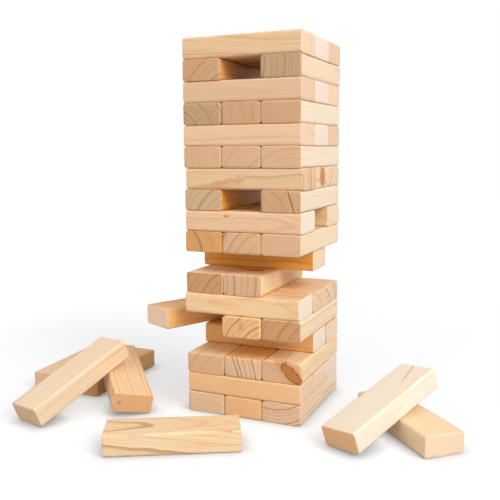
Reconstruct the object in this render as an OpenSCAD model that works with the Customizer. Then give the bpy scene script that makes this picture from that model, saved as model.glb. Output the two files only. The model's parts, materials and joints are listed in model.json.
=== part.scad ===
// Giant tumbling tower: 54 planed pine blocks, stacked in 18 crossing rows of three.
// A game is under way. Seven blocks lie on the ground around the tower and one hangs half out of it.
// The origin is the middle of the tower's footprint, on the ground. Sizes are in millimetres.

/* [Block] */
// Width of a block, across its long side
block_w = 59.4; // [45:0.1:80]
// Thickness of a block
block_t = 30.5; // [24:0.1:40]
// Radius along a block's four long edges
edge_r = 4; // [1:0.5:8]
// Easing around a block's two sawn ends
end_r = 1; // [0.3:0.1:2]

/* [Tower] */
// Air between the blocks of one row
side_gap = 0.9; // [0.4:0.1:3]
// Air between two rows, whose planed faces never lie dead flat on each other
row_gap = 0.1; // [0.05:0.05:0.3]
// How far the front block of row 12 stands out on the right
right_nudge = 2.5; // [0:0.5:15]
// How far the front block of row 6 stands out on the left
left_nudge = 2.5; // [0:0.5:15]
// How far the middle block of row 5 stands out in front
front_nudge = 5; // [0:0.5:15]
// How far the other blocks have crept along their length at most, in play
creep = 0.8; // [0:0.1:2]
// How far the lone block of the row marked LONE has slid along its length
lone_along = -4.5; // [-10:0.5:10]
// How far that block has slid back from the middle of its row
lone_across = 7; // [0:0.5:15]

/* [Block half out of the tower] */
// Heading of the block that hangs half out, from its outer to its inner end
pulled_heading = 64; // [60:1:70]

/* [Fallen blocks] */
// Air where a fallen block rests on another one or on the ground
rest_gap = 0.1; // [0.05:0.05:0.3]
// Heading of the block that lies flat in front
front_heading = 28; // [20:1:34]
// Heading of the flat block under the left pile
left_flat_heading = 91; // [88:1:93]
// Heading of the flat block beside the left pile
left_side_heading = 93.5; // [92:0.5:98]
// Heading of the block that leans on the left pile's flat one
left_lean_heading = 131.5; // [127:0.5:136]
// Heading of the block on top of the left pile
left_top_heading = 74.5; // [71:0.5:78]
// Heading of the flat block on the right
right_flat_heading = 133; // [128:1:138]
// Heading of the block that leans on it
right_lean_heading = 65; // [60:1:70]

/* [Hidden] */
$fn = 48;

// Three blocks laid side by side are as wide as a block is long
place_pitch = block_w + side_gap;
block_l = 2 * place_pitch + block_w;
row_pitch = block_t + row_gap;

// Each row from the ground up, 1 where a place holds a block.
// Odd rows point back from the front, and list left, middle, right.
// Even rows point to the right, and list front, middle, back.
ROWS = [
    [1, 1, 1],
    [1, 1, 1],
    [1, 1, 1],
    [0, 1, 1],
    [0, 1, 1], // the block half out of the tower is this row's left one
    [1, 1, 1],
    [1, 1, 0],
    [0, 1, 0],
    [1, 1, 1],
    [1, 0, 1],
    [1, 0, 1],
    [1, 1, 1],
    [1, 1, 1],
    [1, 1, 1],
    [1, 1, 1],
    [1, 1, 1],
    [1, 0, 1],
    [1, 1, 1],
];
PULLED = 5;
LONE = 8;

// Blocks that stand out of flush: row, place, and how far to the back or to the right
NUDGES = [
    [5, 1, -front_nudge],
    [6, 0, -left_nudge],
    [LONE, 1, lone_along],
    [12, 0, right_nudge],
];
CREEP_SEED = 4;
CREPT = rands(-creep, creep, 3 * len(ROWS), CREEP_SEED);

// Where things lie around the tower, in block lengths from the middle of its footprint:
// the middle of the near end of a flat block, or the corner that a leaning one stands on
PULLED_AT = [-0.828, -0.433];
FRONT_AT = [-0.694, -1.436];
LEFT_FLAT_AT = [-1.567, -0.541];
LEFT_SIDE_AT = [-1.908, -0.575];
LEFT_LEAN_AT = [-0.761, -0.7];
LEFT_TOP_AT = [-1.692, -1.225];
RIGHT_FLAT_AT = [1.63, -0.608];
RIGHT_LEAN_AT = [0.792, -0.746];

// The two long sides of a block, seen from its near end
LEFT = 1;
RIGHT = -1;

WOOD = ["#e3bd8c", "#dcb07c", "#e8c79b", "#d9a871", "#e0b686"];

function is_along(row) = row % 2 == 1;
function place_name(row, place) =
    (is_along(row) ? ["left", "middle", "right"] : ["front", "middle", "back"])[place];
function tower_name(row, place) = str("row", row < 10 ? "0" : "", row, "_", place_name(row, place));

STANDING = [
    for (row = [1:len(ROWS)])
        for (place = [0:2])
            if (ROWS[row - 1][place] == 1) [row, place]
];

// How a block lies: the middle of its near bottom edge, then the directions
// of its length, of its left side and of its top
function lying(at, heading, height = 0) = [
    [at[0] * block_l, at[1] * block_l, height],
    [cos(heading), sin(heading), 0],
    [-sin(heading), cos(heading), 0],
    [0, 0, 1],
];

// A point given along a block's length, to its left and up from its bottom
function point_on(pose, along, left, up) = pose[0] + along * pose[1] + left * pose[2] + up * pose[3];

// Middle of the rounding of a top long edge, at the block's near end
function edge_middle(pose, side) = point_on(pose, 0, side * (block_w / 2 - edge_r), block_t - edge_r);

// How much lower a tilted block's sharp corner would reach than its rounded edge does
function rounding_drop(pose) =
    let (side_dip = abs(pose[2][2]), up = pose[3][2])
    edge_r * (side_dip + up - norm([side_dip, up]));

// A block that stands on one near corner and leans on the rounded top edge of the block below:
// its bottom is the plane through the corner that touches that edge along its length
function leaning_from(corner, heading, side, below, below_side) =
    let (
        edge = below[1],
        away = edge_middle(below, below_side) - corner,
        reach = away - (away * edge) * edge,
        flat_up = cross(edge, reach) / norm(reach),
        steep_up = flat_up[2] > 0 ? flat_up : -flat_up,
        lift = (edge_r + rest_gap) / norm(reach),
        up = sqrt(1 - lift * lift) * steep_up - lift * reach / norm(reach),
        level = [cos(heading), sin(heading), 0],
        climbing = level - [0, 0, (level * up) / up[2]],
        length = climbing / norm(climbing),
        left = cross(up, length)
    )
    [corner - side * block_w / 2 * left, length, left, up];

function leaning(at, heading, side, below, below_side) =
    let (
        ground = [at[0] * block_l, at[1] * block_l, rest_gap],
        sharp = leaning_from(ground, heading, side, below, below_side)
    )
    leaning_from(ground - [0, 0, rounding_drop(sharp)], heading, side, below, below_side);

left_flat = lying(LEFT_FLAT_AT, left_flat_heading);
left_leaning = leaning(LEFT_LEAN_AT, left_lean_heading, RIGHT, left_flat, RIGHT);
left_top = leaning(LEFT_TOP_AT, left_top_heading, LEFT, left_leaning, LEFT);
right_flat = lying(RIGHT_FLAT_AT, right_flat_heading);
right_leaning = leaning(RIGHT_LEAN_AT, right_lean_heading, LEFT, right_flat, LEFT);

// A rectangle with round corners, centred on the origin
module rounded_outline(wide, high, radius) {
    square([wide - 2 * radius, high], center = true);
    square([wide, high - 2 * radius], center = true);
    for (x = [-1, 1])
        for (y = [-1, 1])
            translate([x * (wide / 2 - radius), y * (high / 2 - radius)])
                circle(r = radius);
}

// One block, from its near end along +X, on the ground: three outlines that cut each other,
// the section with its long edges rounded, and the plan and the side view with eased ends
module block() {
    translate([block_l / 2, 0, block_t / 2])
        intersection() {
            rotate([90, 0, 90])
                linear_extrude(block_l, center = true)
                    rounded_outline(block_w, block_t, edge_r);
            linear_extrude(block_t, center = true)
                rounded_outline(block_l, block_w, end_r);
            rotate([90, 0, 0])
                linear_extrude(block_w, center = true)
                    rounded_outline(block_l, block_t, end_r);
        }
}

module posed_block(pose, tone) {
    color(WOOD[tone % len(WOOD)])
        multmatrix([
            [pose[1][0], pose[2][0], pose[3][0], pose[0][0]],
            [pose[1][1], pose[2][1], pose[3][1], pose[0][1]],
            [pose[1][2], pose[2][2], pose[3][2], pose[0][2]],
            [0, 0, 0, 1],
        ])
            block();
}

// How far a block lies out of flush. The bottom and the top row are laid with care.
function slid(row, place) =
    let (nudge = [for (item = NUDGES) if (item[0] == row && item[1] == place) item[2]])
    len(nudge) > 0 ? nudge[0] : row == 1 || row == len(ROWS) ? 0 : CREPT[3 * (row - 1) + place];

// A block in its place in the tower
module standing_block(row, place) {
    across = (place - 1) * place_pitch + (row == LONE ? lone_across : 0);
    color(WOOD[(2 * row + place) % len(WOOD)])
        translate([0, 0, (row - 1) * row_pitch])
            rotate(is_along(row) ? 90 : 0)
                translate([slid(row, place) - block_l / 2, is_along(row) ? -across : across, 0])
                    block();
}

// The block that hangs half out of its row
module pulled_block() {
    posed_block(lying(PULLED_AT, pulled_heading, (PULLED - 1) * row_pitch), 2);
}

module fallen_front() {
    posed_block(lying(FRONT_AT, front_heading), 3);
}

module fallen_left_flat() {
    posed_block(left_flat, 0);
}

module fallen_left_side() {
    posed_block(lying(LEFT_SIDE_AT, left_side_heading), 1);
}

module fallen_left_leaning() {
    posed_block(left_leaning, 2);
}

module fallen_left_top() {
    posed_block(left_top, 4);
}

module fallen_right_flat() {
    posed_block(right_flat, 1);
}

module fallen_right_leaning() {
    posed_block(right_leaning, 2);
}

for (spot = STANDING)
    standing_block(spot[0], spot[1]);
pulled_block();
fallen_front();
fallen_left_flat();
fallen_left_side();
fallen_left_leaning();
fallen_left_top();
fallen_right_flat();
fallen_right_leaning();
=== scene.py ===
import json
import math
import random

import bmesh
import bpy
from mathutils import Matrix, Vector


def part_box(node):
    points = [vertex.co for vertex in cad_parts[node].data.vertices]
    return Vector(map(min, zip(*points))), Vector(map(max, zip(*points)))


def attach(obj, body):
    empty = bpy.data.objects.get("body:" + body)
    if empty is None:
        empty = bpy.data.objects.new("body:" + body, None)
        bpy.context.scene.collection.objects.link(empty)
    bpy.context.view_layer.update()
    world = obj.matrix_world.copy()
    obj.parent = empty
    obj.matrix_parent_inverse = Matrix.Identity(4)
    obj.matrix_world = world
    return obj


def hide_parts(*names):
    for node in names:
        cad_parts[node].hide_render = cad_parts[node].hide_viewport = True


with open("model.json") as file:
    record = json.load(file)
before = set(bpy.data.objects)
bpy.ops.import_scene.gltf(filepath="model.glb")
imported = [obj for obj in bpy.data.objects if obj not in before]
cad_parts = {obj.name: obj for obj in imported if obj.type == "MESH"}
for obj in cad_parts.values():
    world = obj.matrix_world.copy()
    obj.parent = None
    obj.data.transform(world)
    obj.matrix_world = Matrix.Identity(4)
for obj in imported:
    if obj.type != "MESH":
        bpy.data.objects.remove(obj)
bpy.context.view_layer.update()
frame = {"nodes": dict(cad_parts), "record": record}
print("frame loaded with", len(frame["nodes"]), "blocks")

mm = 0.001
axisX = Vector((1, 0, 0))
axisY = Vector((0, 1, 0))
axisZ = Vector((0, 0, 1))

# camera, to the right of the front and a little above the tower's middle

camera = {
    "place": (0.4091, -0.9937, 0.3902),  # m
    "heading": 23.64,  # degrees to the left of straight back
    "nod": -7.99,  # degrees, minus is below level
    "lean": -0.39,
    "lens": 50.5,  # mm
    "sensor": 36,  # mm
    "near": 0.01,  # m, nothing is drawn nearer than this or past the next
    "far": 50,
}


def addCamera():
    data = bpy.data.cameras.new("camera")
    data.lens = camera["lens"]
    data.sensor_width = camera["sensor"]
    data.clip_start = camera["near"]
    data.clip_end = camera["far"]
    eye = bpy.data.objects.new("camera", data)
    heading = Matrix.Rotation(math.radians(camera["heading"]), 4, "Z")
    nod = Matrix.Rotation(math.radians(90 + camera["nod"]), 4, "X")
    lean = Matrix.Rotation(math.radians(camera["lean"]), 4, "Z")
    eye.matrix_world = Matrix.Translation(camera["place"]) @ heading @ nod @ lean
    bpy.context.collection.objects.link(eye)
    bpy.context.scene.camera = eye


addCamera()
print("camera placed")

# one block: a planed stick with rounded long edges and eased ends, x along it, y to its left, z up

shape = {
    "edgeRadius": 4 * mm,
    "endRadius": 1 * mm,
    "edgeSteps": 5,
    "endSteps": 2,
    "rim": 0.4 * mm,  # flat strip that keeps the shading of a rounding off the face
    "slices": 24,  # cuts along the block that let its edges wear unevenly
    "wear": 0.5 * mm,
    "wearSize": 16 * mm,
    "wornEdge": 3.8 * mm,  # how far in from the block's sides its long edges wear
    "wornEnd": 0.9 * mm,
    "smoothAngle": 40,  # degrees
}

lowest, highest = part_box("row01_middle")
blockWidth, blockLength, blockThickness = highest - lowest
half = Vector((blockLength, blockWidth, blockThickness)) / 2


def deselectAll():
    if bpy.context.object and bpy.context.object.mode != "OBJECT":
        bpy.ops.object.mode_set(mode="OBJECT")
    bpy.ops.object.select_all(action="DESELECT")


def selectEdges(piece, wanted):
    # in edit mode, selects the edges whose two ends pass the test
    net = bmesh.from_edit_mesh(piece.data)
    for part in (net.faces, net.edges, net.verts):
        for item in part:
            item.select = False
    for edge in net.edges:
        if wanted(edge.verts[0].co, edge.verts[1].co):
            edge.select = True
            for vert in edge.verts:
                vert.select = True
    net.select_flush_mode()
    bmesh.update_edit_mesh(piece.data)


def modelBlock():
    deselectAll()
    bpy.ops.mesh.primitive_cube_add(size=1)
    piece = bpy.context.object
    piece.name = "block"
    piece.scale = half * 2
    bpy.ops.object.transform_apply(location=False, rotation=False, scale=True)
    bpy.ops.object.mode_set(mode="EDIT")
    bpy.ops.mesh.select_mode(type="EDGE")
    selectEdges(piece, lambda a, b: abs(a.x - b.x) > half.x)
    bpy.ops.mesh.bevel(offset=shape["edgeRadius"], segments=shape["edgeSteps"], affect="EDGES")
    nearEnd = half.x - 0.01 * mm
    selectEdges(piece, lambda a, b: min(abs(a.x), abs(b.x)) > nearEnd)
    bpy.ops.mesh.bevel(offset=shape["endRadius"], segments=shape["endSteps"], affect="EDGES")
    for axis in (axisX, axisY, axisZ):
        radius = shape["endRadius"] if axis is axisX else shape["edgeRadius"]
        rim = half.dot(axis) - radius - shape["rim"]
        for side in (-rim, rim):
            bpy.ops.mesh.select_all(action="SELECT")
            bpy.ops.mesh.bisect(plane_co=axis * side, plane_no=axis)
    for i in range(1, shape["slices"]):
        bpy.ops.mesh.select_all(action="SELECT")
        place = half.x * (2 * i / shape["slices"] - 1)
        bpy.ops.mesh.bisect(plane_co=(place, 0, 0), plane_no=axisX)
    bpy.ops.object.mode_set(mode="OBJECT")
    return piece


def wearGroup(piece):
    # the rounded edges and ends, the only parts that wear
    group = piece.vertex_groups.new(name="worn")
    worn = []
    for vertex in piece.data.vertices:
        inX, inY, inZ = (size - abs(c) for size, c in zip(half, vertex.co))
        onEdge = inY < shape["wornEdge"] and inZ < shape["wornEdge"]
        onEnd = inX < shape["wornEnd"] and min(inY, inZ) < shape["wornEnd"]
        if onEdge or onEnd:
            worn.append(vertex.index)
    group.add(worn, 1, "REPLACE")


def blockFrame(node):
    # where the block lies in the CAD: along its length, to its left and up through its thickness
    mesh = frame["nodes"][node].data
    upBeforeBack = Vector((0.01, 0.1, 1))
    facing = {}
    for face in mesh.polygons:
        normal = face.normal
        if normal.dot(upBeforeBack) < 0:
            normal = -normal
        key = tuple(round(c, 2) for c in normal)
        area, total = facing.get(key, (0, Vector()))
        facing[key] = (area + face.area, total + normal * face.area)
    broadest = sorted(facing.values(), key=lambda item: -item[0])
    up = broadest[0][1].normalized()
    ahead = broadest[2][1].normalized()  # the ends come third, after the two kinds of long faces
    runsBack = abs(ahead.y) > 0.1
    if (ahead.y if runsBack else ahead.x) < 0:
        ahead = -ahead
    if up.z < 0:
        up = -up
    left = up.cross(ahead)
    centre = Vector()
    for axis in (ahead, left, up):
        reach = [axis.dot(vertex.co) for vertex in mesh.vertices]
        centre += axis * (min(reach) + max(reach)) / 2
    place = Matrix((ahead, left, up)).transposed().to_4x4()
    return Matrix.Translation(centre) @ place


def linearColour(hexColour):
    # an sRGB hex colour as linear red, green, blue and alpha
    channels = [int(hexColour[i : i + 2], 16) / 255 for i in (1, 3, 5)]
    return [c / 12.92 if c <= 0.04045 else ((c + 0.055) / 1.055) ** 2.4 for c in channels] + [1]


def addNode(tree, kind, inputs=None, **settings):
    # adds one shader node; an input is a plain value, a socket, or a node whose first output is used
    node = tree.nodes.new("ShaderNode" + kind)
    for name, value in settings.items():
        setattr(node, name, value)
    for key, value in (inputs or {}).items():
        if isinstance(value, bpy.types.Node):
            value = value.outputs[0]
        if isinstance(value, bpy.types.NodeSocket):
            tree.links.new(value, node.inputs[key])
        else:
            node.inputs[key].default_value = value
    return node


# pine shades, from the palest sapwood to the deepest honey, then those of sawn ends; gold, amber and
# shade honey are also used as painted shade on faces of blocks that lie in recesses
shades = {
    "milk": "#f3e5d1",
    "cream": "#f3dfc5",
    "vanilla": "#f4dab8",
    "butter": "#f6d7ad",
    "straw": "#f8d2a2",
    "peach": "#f2caa2",
    "honey": "#edc69a",
    "rose": "#e6be96",
    "apricot": "#f5c48e",
    "gold": "#f3ba78",
    "amber": "#eeb26c",
    # painted shade: the deepest honey, given only to faces that lie in recesses
    "shadeHoney": "#eca43c",
    "blush": "#fbdcc0",
    "pearl": "#f4dfce",
    "shell": "#f4d4b4",
    "oat": "#eccaa8",
    "almond": "#f0c7a0",
    "biscuit": "#e3b68d",
    "ginger": "#d6a87d",
    "driftwood": "#c8a37b",
    "sage": "#d7b48b",
    "caramel": "#e0a567",
    "toast": "#d39e6d",
    "clay": "#ecb580",
    "tan": "#f6c18a",
}

# growth rings, as cones round the pith. Scales are to the mm of the log, along it and across it.

rings = {
    "swayScale": (0.008, 0.013, 0.013),  # the lines sway over some 125 mm of length
    "swayNoise": {"Scale": 1, "Detail": 2.5, "Roughness": 0.55},
    "swayReach": (0, 11, 11),  # mm
    "bulge": {"From Min": 0.3, "From Max": 3.5, "To Min": 9, "To Max": 0},  # knot sizes into mm
    "widthNoise": {"Scale": 0.7, "Detail": 1},  # good years and lean ones
    "widthSwing": 1.6,  # years
    "yearDark": {"To Min": 0.35, "To Max": 1},
    "lateStart": 0.4,  # where in its year the wood starts to darken
    "lateSteps": ((0.8, 0.2), (0.91, 1), (0.965, 0.9)),  # place in the year, darkness
    "plainYears": 4,  # years to each bold line, which stands for a dark one among plainer ones
    "plainLine": {"From Min": 0.5, "From Max": 1, "To Max": 0.22},
}


def growthLines(tree, trunk, ringWidth, fromKnot, knotHere):
    # how late in its year each spot grew, 0 pale to 1 dark
    swayPlace = addNode(tree, "VectorMath", {0: trunk, 1: rings["swayScale"]}, operation="MULTIPLY")
    swayNoise = addNode(tree, "TexNoise", {"Vector": swayPlace, **rings["swayNoise"]})
    levelled = {0: swayNoise.outputs["Color"], 1: (0.5, 0.5, 0.5)}
    sway = addNode(tree, "VectorMath", levelled, operation="SUBTRACT")
    strayed = {0: sway, 1: rings["swayReach"], 2: trunk}
    swayed = addNode(tree, "VectorMath", strayed, operation="MULTIPLY_ADD")
    across = addNode(tree, "VectorMath", {0: swayed, 1: (0, 1, 1)}, operation="MULTIPLY")
    radius = addNode(tree, "VectorMath", {0: across}, operation="LENGTH").outputs["Value"]

    # they part round a knot
    bulgeRange = {"Value": fromKnot, **rings["bulge"]}
    bulge = addNode(tree, "MapRange", bulgeRange, interpolation_type="SMOOTHSTEP")
    bulged = addNode(tree, "Math", {0: bulge, 1: knotHere, 2: radius}, operation="MULTIPLY_ADD")

    # their widths vary, and so does how dark a year ends
    years = addNode(tree, "Math", {0: bulged, 1: ringWidth}, operation="DIVIDE")
    swing = addNode(tree, "TexNoise", {"W": years, **rings["widthNoise"]}, noise_dimensions="1D")
    swung = {0: swing, 1: rings["widthSwing"], 2: years}
    count = addNode(tree, "Math", swung, operation="MULTIPLY_ADD")
    season = addNode(tree, "Math", {0: count}, operation="FRACT")
    year = addNode(tree, "Math", {0: count}, operation="FLOOR")
    yearTone = addNode(tree, "TexWhiteNoise", {"W": year}, noise_dimensions="1D").outputs["Value"]
    yearDark = addNode(tree, "MapRange", {"Value": yearTone, **rings["yearDark"]})

    # pale early wood that darkens slowly, then a sharp step back to pale
    late = addNode(tree, "ValToRGB", {0: season})
    stops = late.color_ramp.elements
    stops[0].position = rings["lateStart"]
    stops[1].color = (0, 0, 0, 1)
    for place, dark in rings["lateSteps"]:
        stop = stops.new(place)
        stop.color = (dark, dark, dark, 1)
    bold = addNode(tree, "Math", {0: late, 1: yearDark}, operation="MULTIPLY")
    plainCount = addNode(tree, "Math", {0: count, 1: rings["plainYears"]}, operation="MULTIPLY")
    plainSeason = addNode(tree, "Math", {0: plainCount}, operation="FRACT")
    plainRange = {"Value": plainSeason, **rings["plainLine"]}
    plainLine = addNode(tree, "MapRange", plainRange, interpolation_type="SMOOTHSTEP")
    return addNode(tree, "Math", {0: bold, 1: plainLine}, operation="MAXIMUM")


# the wood of a knot: a halo of deeper wood, a dark rim of bark and a red-brown heart. Distances from
# its middle are in sizes of the knot.

knotWood = {
    "halo": "#dc9448",
    "rim": "#5f3012",
    "heart": "#c28440",
    "ember": "#d66a26",
    "depth": {"From Min": 9, "From Max": 4},  # mm in from the surface where it is gone, and full
    "wobbleNoise": {"Scale": 0.12, "Detail": 2},
    "wobble": 0.6,  # how uneven its outline is
    "haloRange": {"From Min": 2.2, "From Max": 0.9, "To Max": 0.75},
    "edgeRange": {"From Min": 1.08, "From Max": 0.95},
    "rimRange": {"From Min": 0.82, "From Max": 0.96},
    "emberNoise": {"Scale": 0.25, "Detail": 2},
    "emberRange": {"From Min": 0.46, "From Max": 0.64},
    "years": 5,  # its own growth rings, from the middle to the rim
    "lateRange": {"From Min": 0.35, "From Max": 1, "To Max": 0.4},
}


def findKnot(tree, knot, trunk, knotDark):
    # how far each spot is from the middle of the block's knot, and how strongly the knot shows there
    depth = addNode(tree, "SeparateXYZ", {0: knot}).outputs["Z"]
    depthEitherWay = addNode(tree, "Math", {0: depth}, operation="ABSOLUTE")
    reach = addNode(tree, "MapRange", {"Value": depthEitherWay, **knotWood["depth"]})
    knotHere = addNode(tree, "Math", {0: reach, 1: knotDark}, operation="MULTIPLY")
    flat = addNode(tree, "VectorMath", {0: knot, 1: (1, 1, 0)}, operation="MULTIPLY")
    away = addNode(tree, "VectorMath", {0: flat}, operation="LENGTH").outputs["Value"]
    noise = addNode(tree, "TexNoise", {"Vector": trunk, **knotWood["wobbleNoise"]})
    uneven = {0: noise, 1: knotWood["wobble"], 2: -knotWood["wobble"] / 2}
    wobble = addNode(tree, "Math", uneven, operation="MULTIPLY_ADD")
    fromKnot = addNode(tree, "Math", {0: away, 1: wobble}, operation="ADD")
    return fromKnot, knotHere


def drawKnot(tree, wood, trunk, fromKnot, knotHere):
    # the wood with its knot laid over it
    haloRange = {"Value": fromKnot, **knotWood["haloRange"]}
    halo = addNode(tree, "MapRange", haloRange, interpolation_type="SMOOTHSTEP")
    haloShown = addNode(tree, "Math", {0: halo, 1: knotHere}, operation="MULTIPLY")
    haloMix = {0: haloShown, 6: wood, 7: linearColour(knotWood["halo"])}
    haloed = addNode(tree, "Mix", haloMix, data_type="RGBA").outputs[2]

    emberNoise = addNode(tree, "TexNoise", {"Vector": trunk, **knotWood["emberNoise"]})
    ember = addNode(tree, "MapRange", {"Value": emberNoise, **knotWood["emberRange"]})
    heartMix = {0: ember, 6: linearColour(knotWood["heart"]), 7: linearColour(knotWood["ember"])}
    heart = addNode(tree, "Mix", heartMix, data_type="RGBA").outputs[2]

    years = addNode(tree, "Math", {0: fromKnot, 1: knotWood["years"]}, operation="MULTIPLY")
    season = addNode(tree, "Math", {0: years}, operation="FRACT")
    lateRange = {"Value": season, **knotWood["lateRange"]}
    late = addNode(tree, "MapRange", lateRange, interpolation_type="SMOOTHSTEP")
    rimRange = {"Value": fromKnot, **knotWood["rimRange"]}
    rim = addNode(tree, "MapRange", rimRange, interpolation_type="SMOOTHSTEP")
    darkest = addNode(tree, "Math", {0: late, 1: rim}, operation="MAXIMUM")
    knotMix = {0: darkest, 6: heart, 7: linearColour(knotWood["rim"])}
    knotColour = addNode(tree, "Mix", knotMix, data_type="RGBA").outputs[2]

    inside = addNode(tree, "MapRange", {"Value": fromKnot, **knotWood["edgeRange"]})
    shown = addNode(tree, "Math", {0: inside, 1: knotHere}, operation="MULTIPLY")
    return addNode(tree, "Mix", {0: shown, 6: haloed, 7: knotColour}, data_type="RGBA").outputs[2]


# the rest of the wood

pine = {
    "endDepth": 0.7,  # mm in from the end where end grain gives way to face
    "endSharp": 0.1,  # mm in from the end where it is all end grain
    "fibreScale": (0.014, 0.8, 0.8),  # drawn at 1.2 mm, because real fibres are too fine to see
    "fibreNoise": {"Scale": 1, "Detail": 3, "Roughness": 0.6},
    "fibreTone": {"From Min": 0.3, "From Max": 0.7, "To Min": 0.93, "To Max": 1.04},
    "poreNoise": {"Scale": 0.55, "Detail": 3, "Roughness": 0.7},  # open pores, on the ends
    "poreTone": {"From Min": 0.3, "From Max": 0.7, "To Min": 0.9, "To Max": 1.08},
    "pink": "#f6c4a0",  # broad drifts along a face
    "pinkScale": (0.009, 0.035, 0.035),
    "pinkNoise": {"Scale": 1, "Detail": 2},
    "pinkRange": {"From Min": 0.48, "From Max": 0.75, "To Max": 0.14},
    "deep": shades["amber"],  # narrower streaks of deeper yellow
    "deepScale": (0.011, 0.16, 0.16),
    "deepNoise": {"Scale": 1, "Detail": 2},
    "deepRange": {"From Min": 0.5, "From Max": 0.8, "To Max": 0.55},
    "lateFace": "#b5702f",  # late wood on a planed face
    "lateFaceMost": 0.6,
    "lateEnd": "#84532c",  # late wood across an end
    "lateEndMost": 0.72,
    "highlightFrom": 1.2,  # mm in from two sides at once where the painted highlight on a long edge is brightest
    "highlightTone": {"To Min": 1, "To Max": 1.04},
    "roughness": {"To Min": 0.52, "To Max": 0.78},  # face, end
    "bump": {"Strength": 0.25, "Distance": 0.4 * mm},
    "ior": 1.45,
}


def faceWood(tree, trunk, faceShade, fibre, lateness, strength):
    pinkPlace = addNode(tree, "VectorMath", {0: trunk, 1: pine["pinkScale"]}, operation="MULTIPLY")
    pinkNoise = addNode(tree, "TexNoise", {"Vector": pinkPlace, **pine["pinkNoise"]})
    pinkRange = {"Value": pinkNoise, **pine["pinkRange"]}
    pinkness = addNode(tree, "MapRange", pinkRange, interpolation_type="SMOOTHSTEP")
    pinkMix = {0: pinkness, 6: faceShade, 7: linearColour(pine["pink"])}
    pinked = addNode(tree, "Mix", pinkMix, data_type="RGBA").outputs[2]

    deepPlace = addNode(tree, "VectorMath", {0: trunk, 1: pine["deepScale"]}, operation="MULTIPLY")
    deepNoise = addNode(tree, "TexNoise", {"Vector": deepPlace, **pine["deepNoise"]})
    deepRange = {"Value": deepNoise, **pine["deepRange"]}
    deepness = addNode(tree, "MapRange", deepRange, interpolation_type="SMOOTHSTEP")
    deepShown = addNode(tree, "Math", {0: deepness, 1: strength}, operation="MULTIPLY")
    deepMix = {0: deepShown, 6: pinked, 7: linearColour(pine["deep"])}
    deepened = addNode(tree, "Mix", deepMix, data_type="RGBA").outputs[2]

    lateShown = addNode(tree, "Math", {0: lateness, 1: strength}, operation="MULTIPLY")
    lateAmount = addNode(tree, "Math", {0: lateShown, 1: pine["lateFaceMost"]}, operation="MULTIPLY")
    lateMix = {0: lateAmount, 6: deepened, 7: linearColour(pine["lateFace"])}
    lined = addNode(tree, "Mix", lateMix, data_type="RGBA").outputs[2]
    fibreTone = addNode(tree, "MapRange", {"Value": fibre, **pine["fibreTone"]})
    return addNode(tree, "VectorMath", {0: lined, "Scale": fibreTone}, operation="SCALE")


def endWood(tree, endShade, pores, lateness, strength):
    lateShown = addNode(tree, "Math", {0: lateness, 1: strength}, operation="MULTIPLY")
    lateAmount = addNode(tree, "Math", {0: lateShown, 1: pine["lateEndMost"]}, operation="MULTIPLY")
    lateMix = {0: lateAmount, 6: endShade, 7: linearColour(pine["lateEnd"])}
    lined = addNode(tree, "Mix", lateMix, data_type="RGBA").outputs[2]
    poreTone = addNode(tree, "MapRange", {"Value": pores, **pine["poreTone"]})
    return addNode(tree, "VectorMath", {0: lined, "Scale": poreTone}, operation="SCALE")


def paintEdgeHighlights(tree, cut, wood):
    # painted highlight: the long rounded edges are made paler, where they would catch the light
    fromMiddle = addNode(tree, "VectorMath", {0: cut}, operation="ABSOLUTE")
    parts = addNode(tree, "SeparateXYZ", {0: fromMiddle})
    onBothSides = []
    for side, size in (("Y", half.y / mm), ("Z", half.z / mm)):
        flatEnds = size - shape["edgeRadius"] / mm
        sideRange = {"From Min": flatEnds, "From Max": size - pine["highlightFrom"]}
        onBothSides.append(addNode(tree, "MapRange", {"Value": parts.outputs[side], **sideRange}))
    sideways, upward = onBothSides
    rounded = addNode(tree, "Math", {0: sideways, 1: upward}, operation="MULTIPLY")
    tone = addNode(tree, "MapRange", {"Value": rounded, **pine["highlightTone"]})
    return addNode(tree, "VectorMath", {0: wood, "Scale": tone}, operation="SCALE")


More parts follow.
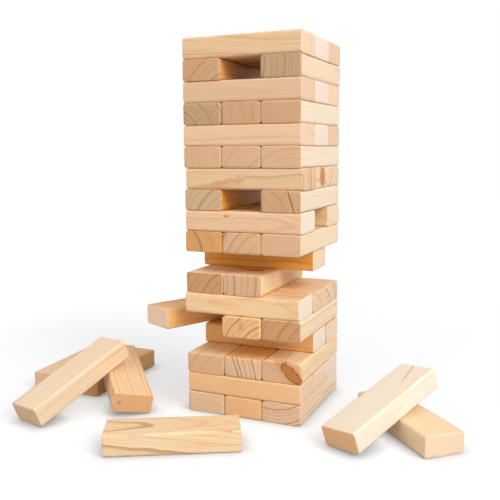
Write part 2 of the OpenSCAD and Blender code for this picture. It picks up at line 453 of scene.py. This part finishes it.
def planedPine():
    # Radiata pine, planed and lightly sanded, left bare: a pale satin face with soft brown growth
    # lines and fine fibres along it, and a duller, darker, open-pored end with crisp growth rings.
    material = bpy.data.materials.new("planedPine")
    material.use_nodes = True
    tree = material.node_tree
    tree.nodes.clear()

    # what each block brings along: places in the block and in the log in mm, the place from its knot,
    # its two shades and how its growth lines and knot show
    cut = addNode(tree, "Attribute", attribute_name="cut").outputs["Vector"]
    trunk = addNode(tree, "Attribute", attribute_name="trunk").outputs["Vector"]
    knot = addNode(tree, "Attribute", attribute_name="knot").outputs["Vector"]
    faceShade = addNode(tree, "Attribute", attribute_name="faceShade").outputs["Color"]
    endShade = addNode(tree, "Attribute", attribute_name="endShade").outputs["Color"]
    figure = addNode(tree, "Attribute", attribute_name="figure")
    figureParts = addNode(tree, "SeparateXYZ", {0: figure.outputs["Vector"]})
    strength, ringWidth, knotDark = figureParts.outputs
    endStrength = figure.outputs["Alpha"]

    along = addNode(tree, "SeparateXYZ", {0: cut}).outputs["X"]
    fromMiddle = addNode(tree, "Math", {0: along}, operation="ABSOLUTE")
    endPlace = half.x / mm
    endStarts = endPlace - pine["endDepth"]
    endRange = {"Value": fromMiddle, "From Min": endStarts, "From Max": endPlace - pine["endSharp"]}
    isEnd = addNode(tree, "MapRange", endRange, interpolation_type="SMOOTHSTEP")

    fromKnot, knotHere = findKnot(tree, knot, trunk, knotDark)
    lateness = growthLines(tree, trunk, ringWidth, fromKnot, knotHere)
    fibrePlace = addNode(tree, "VectorMath", {0: trunk, 1: pine["fibreScale"]}, operation="MULTIPLY")
    fibre = addNode(tree, "TexNoise", {"Vector": fibrePlace, **pine["fibreNoise"]})
    pores = addNode(tree, "TexNoise", {"Vector": trunk, **pine["poreNoise"]})

    face = faceWood(tree, trunk, faceShade, fibre, lateness, strength)
    end = endWood(tree, endShade, pores, lateness, endStrength)
    plain = addNode(tree, "Mix", {0: isEnd, 6: face, 7: end}, data_type="RGBA").outputs[2]
    # painted highlight along the rounded long edges
    highlighted = paintEdgeHighlights(tree, cut, plain)
    finished = drawKnot(tree, highlighted, trunk, fromKnot, knotHere)

    roughness = addNode(tree, "MapRange", {"Value": isEnd, **pine["roughness"]})
    grainRelief = addNode(tree, "Math", {0: fibre, 1: lateness}, operation="ADD")
    relief = addNode(tree, "Mix", {0: isEnd, 2: grainRelief, 3: pores}, data_type="FLOAT")
    bump = addNode(tree, "Bump", {"Height": relief, **pine["bump"]})
    shader = addNode(
        tree,
        "BsdfPrincipled",
        {"Base Color": finished, "Roughness": roughness, "Normal": bump, "IOR": pine["ior"]},
    )
    addNode(tree, "OutputMaterial", {"Surface": shader})
    return material


pineMaterial = planedPine()
print("planed pine mixed")

# what sets single blocks apart: face and end are its shades; pith is where the heart of the log lay,
# in mm to the block's left and up from its middle, as seen along it; ring is how far apart the bold
# growth lines are, in mm; figure is how strongly they show, and endFigure how strongly on the ends;
# slope is how fast the heart drifts left and up, in degrees; along is where in the log it was sawn
# painted shade: row04_middle, row04_back, row05_left, row08_middle, row11_left, row17_left and
# fallen_left_flat have deeper, more golden faces because their long faces lie in recesses and shade
blocks = {
    "row18_front": {"face": "honey", "end": "shell", "pith": (-75, 30), "ring": 12, "figure": 1.2,
                    "endFigure": 0.4, "slope": (1.5, -0.5)},
    "row18_middle": {"end": "pearl", "pith": (10, 80), "ring": 15, "figure": 0.15},
    "row18_back": {"end": "oat", "pith": (60, 20), "ring": 12, "figure": 0.4},
    "row17_left": {"face": "amber", "end": "ginger", "pith": (-55, -62), "ring": 9, "figure": 0.8},
    "row17_right": {"face": "vanilla", "end": "driftwood", "pith": (85, 5), "ring": 9, "figure": 0.8},
    "row16_front": {"face": "rose", "end": "oat", "pith": (-60, -60), "ring": 16, "figure": 0.25},
    "row16_middle": {"end": "pearl", "pith": (-50, 70), "ring": 14, "figure": 0.15},
    "row16_back": {"end": "shell", "pith": (70, -30), "ring": 15, "figure": 0.3},
    "row15_left": {"face": "straw", "end": "driftwood", "pith": (52, -40), "ring": 7, "figure": 0.9},
    "row15_middle": {"end": "ginger", "pith": (88, -8), "ring": 17, "figure": 0.5},
    "row15_right": {"face": "cream", "end": "ginger", "pith": (-40, -75), "ring": 15, "figure": 0.2},
    "row14_front": {"face": "peach", "end": "shell", "pith": (40, 70), "ring": 10, "figure": 0.4},
    "row14_middle": {"end": "pearl", "pith": (85, 10), "ring": 13, "figure": 0.15},
    "row14_back": {"end": "oat", "pith": (70, 40), "ring": 14, "figure": 0.3},
    "row13_left": {"end": "biscuit", "pith": (95, -12), "ring": 6, "figure": 0.5},
    "row13_middle": {"end": "biscuit", "pith": (-60, -65), "ring": 10, "figure": 0.35},
    "row13_right": {"face": "cream", "end": "biscuit", "pith": (-20, -70), "ring": 12, "figure": 0.25},
    "row12_front": {"face": "honey", "end": "almond", "pith": (-58, -10), "ring": 9, "figure": 0.7,
                    "endFigure": 1.5, "slope": (1, 1.5)},
    "row12_middle": {"end": "shell", "pith": (20, 70), "ring": 12, "figure": 0.5},
    "row12_back": {"end": "shell", "pith": (-60, 50), "ring": 11, "figure": 0.25, "endFigure": 0.9},
    "row11_left": {"face": "shadeHoney", "end": "sage", "pith": (-58, -52), "ring": 11, "figure": 0.8},
    "row11_right": {"face": "cream", "end": "ginger", "pith": (80, -60), "ring": 14, "figure": 0.3},
    "row10_front": {"face": "peach", "end": "milk", "pith": (-66, -6), "ring": 9, "figure": 1.1,
                    "endFigure": 0.15, "slope": (-2, 1)},
    "row10_back": {"face": "straw", "end": "vanilla", "pith": (60, 40), "ring": 14, "figure": 0.2},
    "row09_left": {"face": "amber", "end": "caramel", "pith": (68, -24), "ring": 20, "figure": 0.9},
    "row09_middle": {"face": "gold", "end": "biscuit", "pith": (-60, -56), "ring": 15, "figure": 1},
    "row09_right": {"face": "vanilla", "end": "biscuit", "pith": (10, 90), "ring": 17, "figure": 0.15},
    "row08_middle": {"face": "shadeHoney", "end": "vanilla", "pith": (-60, 20), "ring": 12, "figure": 0.9,
                     "endFigure": 0.2},
    "row07_left": {"face": "butter", "end": "toast", "pith": (-60, -48), "ring": 10, "figure": 0.5,
                   "endFigure": 0.8},
    "row07_middle": {"face": "butter", "end": "biscuit", "pith": (92, 0), "ring": 11, "figure": 0.5,
                     "endFigure": 0.9},
    "row06_front": {"face": "straw", "end": "milk", "pith": (-90, -4), "ring": 13, "figure": 1.3,
                    "endFigure": 0.1},
    "row06_middle": {"face": "straw", "end": "oat", "pith": (-50, -70), "ring": 12, "figure": 0.6,
                     "endFigure": 0.3},
    "row06_back": {"face": "straw", "end": "shell", "pith": (-62, -45), "ring": 9, "figure": 0.5,
                   "endFigure": 1.4},
    "row05_left": {"face": "gold", "end": "blush", "pith": (30, -70), "ring": 12, "figure": 0.4,
                   "endFigure": 0.1},
    "row05_middle": {"face": "butter", "end": "tan", "pith": (-52, -44), "ring": 8, "figure": 0.9,
                     "endFigure": 1.2},
    "row05_right": {"face": "vanilla", "end": "toast", "pith": (-82, -50), "ring": 13, "figure": 0.7},
    "row04_middle": {"face": "amber", "end": "milk", "pith": (-60, 20), "ring": 14, "figure": 0.5,
                     "endFigure": 0.15},
    "row04_back": {"face": "shadeHoney", "end": "vanilla", "pith": (50, 60), "ring": 14, "figure": 0.3},
    "row03_left": {"face": "straw", "end": "biscuit", "pith": (-70, -60), "ring": 15, "figure": 0.6,
                   "endFigure": 0.3},
    "row03_middle": {"face": "gold", "end": "almond", "pith": (98, -22), "ring": 7, "figure": 0.9,
                     "endFigure": 1.6},
    "row03_right": {"face": "butter", "end": "biscuit", "pith": (60, -60), "ring": 13, "figure": 0.5,
                    "endFigure": 0.4},
    "row02_front": {"face": "apricot", "end": "shell", "pith": (80, 60), "ring": 16, "figure": 0.2},
    "row02_middle": {"end": "vanilla", "pith": (10, 80), "ring": 15, "figure": 0.2},
    "row02_back": {"end": "pearl", "pith": (60, 60), "ring": 15, "figure": 0.2},
    "row01_left": {"end": "almond", "pith": (10, -80), "ring": 14, "figure": 0.2},
    "row01_middle": {"face": "honey", "end": "tan", "pith": (60, -70), "ring": 18, "figure": 0.15},
    "row01_right": {"face": "vanilla", "end": "almond", "pith": (14, 76), "ring": 7, "figure": 0.8,
                    "endFigure": 1.2},
    "fallen_front": {"face": "butter", "end": "almond", "pith": (1, -22), "ring": 10.2, "figure": 1.3,
                     "endFigure": 0.4, "slope": (1, -5.2), "along": 0},
    "fallen_left_top": {"face": "vanilla", "end": "almond", "pith": (50, 60), "ring": 16, "figure": 0.4,
                        "endFigure": 0.2},
    "fallen_left_leaning": {"face": "straw", "end": "clay", "pith": (72, 20), "ring": 7, "figure": 0.8,
                            "endFigure": 0.2},
    "fallen_left_flat": {"face": "gold", "end": "gold", "pith": (60, 30), "ring": 13, "figure": 0.3},
    "fallen_left_side": {"face": "peach", "end": "almond", "pith": (60, 30), "ring": 13, "figure": 0.3},
    "fallen_right_leaning": {"face": "milk", "end": "tan", "pith": (-60, 60), "ring": 17, "figure": 0.15},
    "fallen_right_flat": {"face": "butter", "end": "shell", "pith": (40, 70), "ring": 14, "figure": 0.2},
}

# what a block or a value that isn't given above is drawn from
common = {
    "faces": ("vanilla", "butter", "straw", "peach", "honey"),
    "ends": ("shell", "biscuit", "almond", "oat"),
    "pithNear": 45,  # mm
    "pithFar": 95,
    "ringLow": 7,  # mm
    "ringHigh": 17,
    "figureLow": 0.2,
    "figureHigh": 0.6,
    "slopeMost": 2.5,  # degrees
    "along": 3000,  # mm, how far either way from the log's middle a block may be sawn
}


def grow(node, draw):
    # where in its log the block was sawn, from the list above or drawn by chance
    turn = draw.uniform(0, 2 * math.pi)
    reach = draw.uniform(common["pithNear"], common["pithFar"])
    most = common["slopeMost"]
    drawn = {
        "face": draw.choice(common["faces"]),
        "end": draw.choice(common["ends"]),
        "pith": (reach * math.cos(turn), reach * math.sin(turn)),
        "ring": draw.uniform(common["ringLow"], common["ringHigh"]),
        "figure": draw.uniform(common["figureLow"], common["figureHigh"]),
        "slope": (draw.uniform(-most, most), draw.uniform(-most, most)),
        "along": draw.uniform(-common["along"], common["along"]),
    }
    drawn.update(blocks.get(node, {}))
    drawn.setdefault("endFigure", drawn["figure"])
    return drawn


# knots, and thin dark marks along splits that are painted shade of their gaps: where they meet the
# surface, the way they run, how wide and tall they are, all in mm in the block's own frame, their turn in
# degrees, and how dark they are
knotsAndSplitShade = {
    "row03_right": {"centre": (-90, -15, 0), "run": (1, 0, 0), "size": (8, 20), "turn": -47, "dark": 0.9},
    "row12_middle": {"centre": (90, 6, 1), "run": (1, 0, 0), "size": (9, 13), "turn": 8, "dark": 0.75},
    "row12_front": {"centre": (-6, -30, 2), "run": (0, 1, 0), "size": (4, 4), "turn": 0, "dark": 0.15},
    # not a knot: painted shade along the split in this end
    "row11_right": {"centre": (-90, -15, 0), "run": (1, 0, 0), "size": (0.8, 17), "turn": -18, "dark": 1},
    "row10_front": {"centre": (-24, -30, 8), "run": (0, 1, 0.2), "size": (4, 1.5), "turn": 0,
                    "dark": 0.6},
    "row07_middle": {"centre": (-40, 2, 15), "run": (0, 0.2, 1), "size": (14, 8), "turn": 0,
                     "dark": 0.8},
    "row05_middle": {"centre": (-90, 0, 2), "run": (1, 0, 0), "size": (3, 5), "turn": 0, "dark": 0.3},
    # not a knot: painted shade along the split in this top
    "fallen_right_leaning": {"centre": (69, 0, 15), "run": (0, 0, 1), "size": (0.5, 23), "turn": 15,
                             "dark": 0.8},
    "fallen_left_leaning": {"centre": (-90, 20, 0), "run": (1, 0, 0), "size": (1.5, 3), "turn": 0,
                            "dark": 0.6},
}


def knotPlaces(node, points):
    # each point in the frame of the block's knot: across it in units of its size, along it in mm
    if node not in knotsAndSplitShade:
        farFromKnot = (9, 9, 0)
        return [farFromKnot] * len(points)
    knot = knotsAndSplitShade[node]
    run = Vector(knot["run"]).normalized()
    runsUp = abs(run.z) > math.sqrt(0.5)
    wide = run.cross(axisX if runsUp else axisZ).normalized()
    tall = run.cross(wide)
    turned = Matrix.Rotation(math.radians(knot["turn"]), 3, run)
    wide = turned @ wide / knot["size"][0]
    tall = turned @ tall / knot["size"][1]
    centre = Vector(knot["centre"])
    offsets = [point - centre for point in points]
    return [(away.dot(wide), away.dot(tall), away.dot(run)) for away in offsets]


# splits: how each runs over the surface and which way it goes in, all in mm in the block's own frame,
# how wide it gapes and what is left of it at its far end
splits = {
    "row11_right": {"start": (-90, -9.5, 17), "end": (-90, -20.5, -17), "inward": (1, 0, 0),
                    "depth": 6, "gape": 0.9, "fade": 0.6},
    "fallen_right_leaning": {"start": (92, 6, 15), "end": (46, -6, 15), "inward": (0, 0, -1),
                             "depth": 4, "gape": 0.9, "fade": 0.1},
}


def splitBlock(piece, split):
    # cuts a split with a long three-cornered wedge whose sharp edge points into the wood
    start = Vector(split["start"]) * mm
    end = Vector(split["end"]) * mm
    inward = Vector(split["inward"])
    across = inward.cross(end - start).normalized()
    deselectAll()
    bpy.ops.mesh.primitive_cone_add(vertices=3, radius1=1, radius2=split["fade"], depth=1)
    wedge = bpy.context.object
    wide = across * split["gape"] * mm * math.sqrt(3) / 2  # the cone is 2 / sqrt(3) wide at the surface
    turned = Matrix((wide, inward * split["depth"] * mm, end - start)).transposed().to_4x4()
    wedge.data.transform(Matrix.Translation((start + end) / 2) @ turned)
    deselectAll()
    piece.select_set(True)
    bpy.context.view_layer.objects.active = piece
    cutter = piece.modifiers.new("split", "BOOLEAN")
    cutter.operation = "DIFFERENCE"
    cutter.solver = "EXACT"
    cutter.object = wedge
    bpy.ops.object.modifier_apply(modifier="split")
    bpy.data.objects.remove(wedge)


def writeVectors(mesh, name, vectors, kind="FLOAT_VECTOR"):
    layer = mesh.attributes.new(name, kind, "POINT")
    flat = [number for vector in vectors for number in vector]
    layer.data.foreach_set("vector" if kind == "FLOAT_VECTOR" else "color", flat)


def writeLook(mesh, node, look):
    # what the pine reads: the block's own mm, its place in the log and from its knot, and its shades
    cut = [vertex.co / mm for vertex in mesh.vertices]
    slopeLeft, slopeUp = (math.tan(math.radians(angle)) for angle in look["slope"])
    pithLeft, pithUp = look["pith"]
    trunk = []
    for x, y, z in cut:
        fromPith = (y - pithLeft - slopeLeft * x, z - pithUp - slopeUp * x)
        trunk.append((x + look["along"], *fromPith))
    count = len(cut)
    knotDark = knotsAndSplitShade[node]["dark"] if node in knotsAndSplitShade else 0
    figure = (look["figure"], look["ring"], knotDark, look["endFigure"])
    writeVectors(mesh, "cut", cut)
    writeVectors(mesh, "trunk", trunk)
    writeVectors(mesh, "knot", knotPlaces(node, cut))
    writeVectors(mesh, "figure", [figure] * count, "FLOAT_COLOR")
    writeVectors(mesh, "faceShade", [linearColour(shades[look["face"]])] * count, "FLOAT_COLOR")
    writeVectors(mesh, "endShade", [linearColour(shades[look["end"]])] * count, "FLOAT_COLOR")


def placeBlock(pattern, node, clouds, draw):
    piece = pattern.copy()
    piece.data = pattern.data.copy()
    piece.name = node + "_pine"
    piece.data.name = piece.name
    bpy.context.collection.objects.link(piece)
    if node in splits:
        splitBlock(piece, splits[node])
    writeLook(piece.data, node, grow(node, draw))
    wearGroup(piece)
    piece.data.transform(blockFrame(node))
    piece.data.materials.clear()
    piece.data.materials.append(pineMaterial)
    deselectAll()
    piece.select_set(True)
    bpy.context.view_layer.objects.active = piece
    wear = piece.modifiers.new("wear", "DISPLACE")
    wear.texture = clouds
    wear.texture_coords = "LOCAL"
    wear.vertex_group = "worn"
    wear.mid_level = 0
    wear.strength = -shape["wear"]
    bpy.ops.object.modifier_apply(modifier="wear")
    bpy.ops.object.shade_smooth_by_angle(angle=math.radians(shape["smoothAngle"]))
    return piece


def makeBlocks():
    pattern = modelBlock()
    clouds = bpy.data.textures.new("wearClouds", "CLOUDS")
    clouds.noise_scale = shape["wearSize"]
    draw = random.Random(18)
    for body, nodes in frame["record"]["behaviour"]["bodies"].items():
        for node in nodes:
            piece = placeBlock(pattern, node, clouds, draw)
            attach(piece, body)
            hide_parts(node)
    bpy.data.objects.remove(pattern)


makeBlocks()
print("blocks laid")

# plain studio: a pale floor, a white surround and one broad soft lamp on the right

studio = {
    "floor": "#b9bbbe",
    "floorSize": 12,  # m
    "floorDrop": 0.1 * mm,  # under the blocks, so that the two surfaces don't fight
    "poolMiddle": (0.6, -0.3, 0),  # m, where the lamp's light falls on the floor
    "nearEnds": 0.8,  # m from there
    "farStarts": 2,
    "glowNear": 0.53,  # what the floor adds before the camera alone, so that it stays white
    "glowFar": 0.69,
    "contactReach": 22 * mm,  # how far out from a piece the painted contact shadow on the floor reaches
    "contactRange": {"From Min": 0.4, "From Max": 1, "To Min": 0.35},  # openness into glow kept, which paints the contact shadow
    "contactSamples": 8,
    "surroundFront": 0.97,
    "surroundBack": 0.34,
    "surroundTurn": 0.7,  # how far to the front and back it changes, 1 is straight ahead
    "lampPlace": (2.3, -1.15, 2.05),  # m
    "lampAim": (0, 0, 0.25),
    "lampSize": 1.6,  # m
    "lampPower": 60,  # W
    "lampColour": "#fffdfb",
}


def addFloor():
    deselectAll()
    place = (0, 0, -studio["floorDrop"])
    bpy.ops.mesh.primitive_plane_add(size=studio["floorSize"], location=place)
    floor = bpy.context.object
    floor.name = "studioFloor"
    material = bpy.data.materials.new("whitePaper")  # matt white paper, shadows stay soft and pale
    material.use_nodes = True
    tree = material.node_tree
    tree.nodes.clear()
    paper = addNode(tree, "BsdfDiffuse", {"Color": linearColour(studio["floor"])})
    path = addNode(tree, "LightPath").outputs
    direct = {0: path["Is Camera Ray"], 1: path["Is Glossy Ray"]}
    seen = addNode(tree, "Math", direct, operation="MAXIMUM")
    floorPlace = addNode(tree, "TexCoord").outputs["Object"]
    fromPool = {0: floorPlace, 1: studio["poolMiddle"]}
    away = addNode(tree, "VectorMath", fromPool, operation="DISTANCE").outputs["Value"]
    spread = addNode(
        tree,
        "MapRange",
        {
            "Value": away,
            "From Min": studio["nearEnds"],
            "From Max": studio["farStarts"],
            "To Min": studio["glowNear"],
            "To Max": studio["glowFar"],
        },
        interpolation_type="SMOOTHSTEP",
    )
    # painted contact shadow: the floor's glow is dimmed where a piece hems the floor in
    openness = addNode(
        tree,
        "AmbientOcclusion",
        {"Distance": studio["contactReach"]},
        samples=studio["contactSamples"],
    )
    kept = addNode(tree, "MapRange", {"Value": openness.outputs["AO"], **studio["contactRange"]})
    glowing = addNode(tree, "Math", {0: seen, 1: spread}, operation="MULTIPLY")
    shaded = addNode(tree, "Math", {0: glowing, 1: kept}, operation="MULTIPLY")
    glow = addNode(tree, "Emission", {"Strength": shaded})
    both = addNode(tree, "AddShader", {0: paper, 1: glow})
    addNode(tree, "OutputMaterial", {"Surface": both})
    floor.data.materials.append(material)


def addSurround():
    # light from the front and a little from the back; before the camera and in gloss, plain white
    world = bpy.data.worlds.new("surround")
    world.use_nodes = True
    tree = world.node_tree
    tree.nodes.clear()
    path = addNode(tree, "LightPath").outputs
    indirect = {0: path["Is Glossy Ray"], 1: path["Is Transmission Ray"]}
    mirrored = addNode(tree, "Math", indirect, operation="MAXIMUM")
    seen = addNode(tree, "Math", {0: mirrored, 1: path["Is Camera Ray"]}, operation="MAXIMUM")
    direction = addNode(tree, "TexCoord").outputs["Generated"]
    depth = addNode(tree, "SeparateXYZ", {0: direction}).outputs["Y"]
    lit = addNode(
        tree,
        "MapRange",
        {
            "Value": depth,
            "From Min": -studio["surroundTurn"],
            "From Max": studio["surroundTurn"],
            "To Min": studio["surroundFront"],
            "To Max": studio["surroundBack"],
        },
        interpolation_type="SMOOTHSTEP",
    )
    strength = addNode(tree, "MapRange", {"Value": seen, "To Min": lit, "To Max": 1})
    sky = addNode(tree, "Background", {"Color": (1, 1, 1, 1), "Strength": strength})
    addNode(tree, "OutputWorld", {"Surface": sky})
    bpy.context.scene.world = world


def addLamp():
    data = bpy.data.lights.new("softbox", "AREA")
    data.shape = "SQUARE"
    data.size = studio["lampSize"]
    data.energy = studio["lampPower"]
    data.color = linearColour(studio["lampColour"])[:3]
    lamp = bpy.data.objects.new("softbox", data)
    place = Vector(studio["lampPlace"])
    aim = (Vector(studio["lampAim"]) - place).to_track_quat("-Z", "Y")
    lamp.matrix_world = Matrix.Translation(place) @ aim.to_matrix().to_4x4()
    bpy.context.collection.objects.link(lamp)


addFloor()
addSurround()
addLamp()
bpy.context.scene.view_settings.view_transform = "Standard"
print("studio lit")
